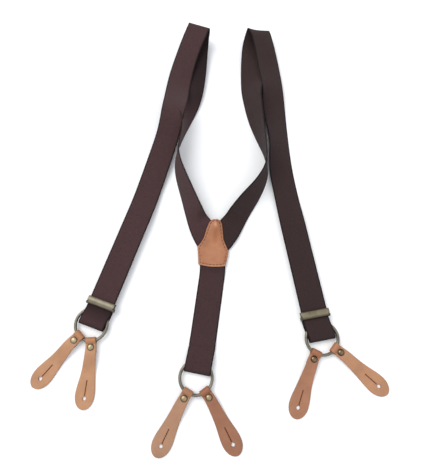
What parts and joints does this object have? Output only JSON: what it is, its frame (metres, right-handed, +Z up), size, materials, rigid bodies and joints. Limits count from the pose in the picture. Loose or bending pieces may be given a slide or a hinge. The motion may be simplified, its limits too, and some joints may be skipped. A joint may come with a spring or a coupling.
{
  "type": "suspenders",
  "caption": "Y-back suspenders lying flat: elastic webbing straps, a leather crosspatch, slide adjusters with hinged levers, round rings, and leather button tabs held by rivets.",
  "frame": {"origin": "bottom centre of the bounding box, on the surface the suspenders lie on", "axes": "+Y runs from the button tabs up to the shoulder folds, +X is to the right seen from above with the shoulders at the top, +Z up out of the surface"},
  "size_m": [0.5034, 0.6733, 0.0411],
  "materials": {
    "webbing": "dark brown ribbed elastic webbing, matt, with slightly darker woven edges",
    "patch_leather": "tan vegetable-tanned leather, smooth and lightly waxed, stitched near its edge",
    "tab_leather": "tan vegetable-tanned leather, smooth top with darker cut edges",
    "antique_brass": "antique brass plate, brushed highlights, darker in the recesses"
  },
  "bodies": {
    "webbing": {"shoulder_strap_left": "webbing", "shoulder_strap_right": "webbing", "back_strap": "webbing", "crosspatch_front": "patch_leather", "crosspatch_back": "patch_leather"},
    "adjuster_left": {"adjuster_frame_left": "antique_brass", "adjuster_pin_left": "antique_brass"},
    "lever_left": {"adjuster_lever_left": "antique_brass"},
    "clip_left": {"strap_loop_left": "webbing"},
    "ring_left": {"ring_left": "antique_brass"},
    "adjuster_right": {"adjuster_frame_right": "antique_brass", "adjuster_pin_right": "antique_brass"},
    "lever_right": {"adjuster_lever_right": "antique_brass"},
    "clip_right": {"strap_loop_right": "webbing"},
    "ring_right": {"ring_right": "antique_brass"},
    "ring_back": {"ring_back": "antique_brass"},
    "tab_left_outer": {"tab_left_outer": "tab_leather", "rivet_cap_left_outer": "antique_brass", "rivet_post_left_outer": "antique_brass"},
    "tab_left_inner": {"tab_left_inner": "tab_leather", "rivet_cap_left_inner": "antique_brass", "rivet_post_left_inner": "antique_brass"},
    "tab_back_left": {"tab_back_left": "tab_leather", "rivet_cap_back_left": "antique_brass", "rivet_post_back_left": "antique_brass"},
    "tab_back_right": {"tab_back_right": "tab_leather", "rivet_cap_back_right": "antique_brass", "rivet_post_back_right": "antique_brass"},
    "tab_right_inner": {"tab_right_inner": "tab_leather", "rivet_cap_right_inner": "antique_brass", "rivet_post_right_inner": "antique_brass"},
    "tab_right_outer": {"tab_right_outer": "tab_leather", "rivet_cap_right_outer": "antique_brass", "rivet_post_right_outer": "antique_brass"}
  },
  "joints": [
    {"name": "adjuster_left_slide", "type": "slide", "parent": "webbing", "child": "adjuster_left", "axis": [0.343, 0.9393, 0], "range_m": [0, 0.07]},
    {"name": "clip_left_follow", "type": "slide", "parent": "adjuster_left", "child": "clip_left", "axis": [0.343, 0.9393, 0], "range_m": [-0.035, 0], "deforming": ["strap_loop_left"]},
    {"name": "lever_left_hinge", "type": "hinge", "parent": "adjuster_left", "child": "lever_left", "pos_m": [-0.15803, -0.13383, 0.012], "axis": [0.9393, -0.343, 0], "range_deg": [0, 75]},
    {"name": "ring_left_turn", "type": "hinge", "parent": "clip_left", "child": "ring_left", "pos_m": [-0.17043, -0.16019, 0.0059], "axis": [0, 0, 1], "range_deg": [-15, 15]},
    {"name": "adjuster_right_slide", "type": "slide", "parent": "webbing", "child": "adjuster_right", "axis": [-0.1836, 0.983, 0], "range_m": [0, 0.07]},
    {"name": "clip_right_follow", "type": "slide", "parent": "adjuster_right", "child": "clip_right", "axis": [-0.1836, 0.983, 0], "range_m": [-0.035, 0], "deforming": ["strap_loop_right"]},
    {"name": "lever_right_hinge", "type": "hinge", "parent": "adjuster_right", "child": "lever_right", "pos_m": [0.15247, -0.14903, 0.012], "axis": [0.983, 0.1836, 0], "range_deg": [0, 75]},
    {"name": "ring_right_turn", "type": "hinge", "parent": "clip_right", "child": "ring_right", "pos_m": [0.16111, -0.17955, 0.0059], "axis": [0, 0, 1], "range_deg": [-15, 15]},
    {"name": "ring_back_turn", "type": "hinge", "parent": "webbing", "child": "ring_back", "pos_m": [-0.01881, -0.23319, 0.0059], "axis": [0, 0, 1], "range_deg": [-15, 15]},
    {"name": "tab_left_outer_lift", "type": "hinge", "parent": "ring_left", "child": "tab_left_outer", "pos_m": [-0.18669, -0.17538, 0.0059], "axis": [-0.6825, 0.7309, 0], "range_deg": [0, 70]},
    {"name": "tab_left_inner_lift", "type": "hinge", "parent": "ring_left", "child": "tab_left_inner", "pos_m": [-0.16917, -0.18241, 0.0059], "axis": [-0.9984, -0.0565, 0], "range_deg": [0, 70]},
    {"name": "tab_back_left_lift", "type": "hinge", "parent": "ring_back", "child": "tab_back_left", "pos_m": [-0.03049, -0.25213, 0.0059], "axis": [-0.8513, 0.5247, 0], "range_deg": [0, 70]},
    {"name": "tab_back_right_lift", "type": "hinge", "parent": "ring_back", "child": "tab_back_right", "pos_m": [-0.00574, -0.2512, 0.0059], "axis": [-0.8091, -0.5876, 0], "range_deg": [0, 70]},
    {"name": "tab_right_inner_lift", "type": "hinge", "parent": "ring_right", "child": "tab_right_inner", "pos_m": [0.15132, -0.19954, 0.0059], "axis": [-0.8981, 0.4398, 0], "range_deg": [0, 70]},
    {"name": "tab_right_outer_lift", "type": "hinge", "parent": "ring_right", "child": "tab_right_outer", "pos_m": [0.17886, -0.19297, 0.0059], "axis": [-0.6031, -0.7977, 0], "range_deg": [0, 70]}
  ],
  "couplings": [
    {"joint": "clip_left_follow", "follows": "adjuster_left_slide", "ratio": -0.5},
    {"joint": "clip_right_follow", "follows": "adjuster_right_slide", "ratio": -0.5}
  ]
}
